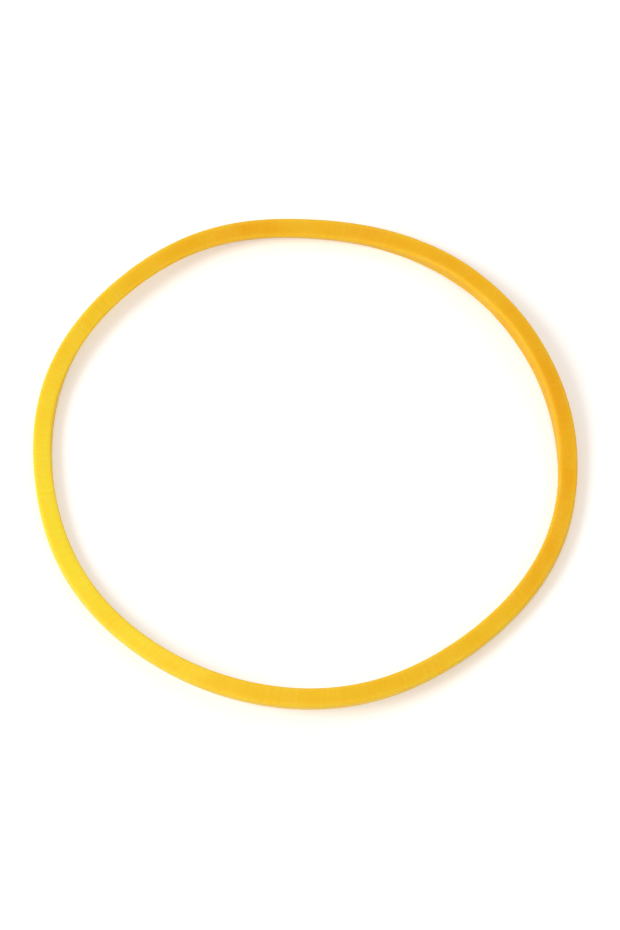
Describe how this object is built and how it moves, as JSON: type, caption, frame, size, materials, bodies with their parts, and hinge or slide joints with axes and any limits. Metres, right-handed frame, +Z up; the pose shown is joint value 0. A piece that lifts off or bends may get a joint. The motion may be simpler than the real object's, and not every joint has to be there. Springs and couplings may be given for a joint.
{
  "type": "rubber band",
  "caption": "Closed loop of golden natural rubber with a near-square cut section, lying loose and gently arched; it stretches round small things to hold them together.",
  "frame": {"origin": "on the surface that the band lies on, under the middle of the loop's box", "axes": "+Z up out of the surface; the loop lies in X and Y, and seen from the -Y side, from above, it has the outline that the picture shows"},
  "size_m": [0.041, 0.0408, 0.0029],
  "materials": {
    "natural_rubber": "satin"
  },
  "bodies": {
    "root": {"rubber_band": "natural_rubber"}
  },
  "joints": []
}
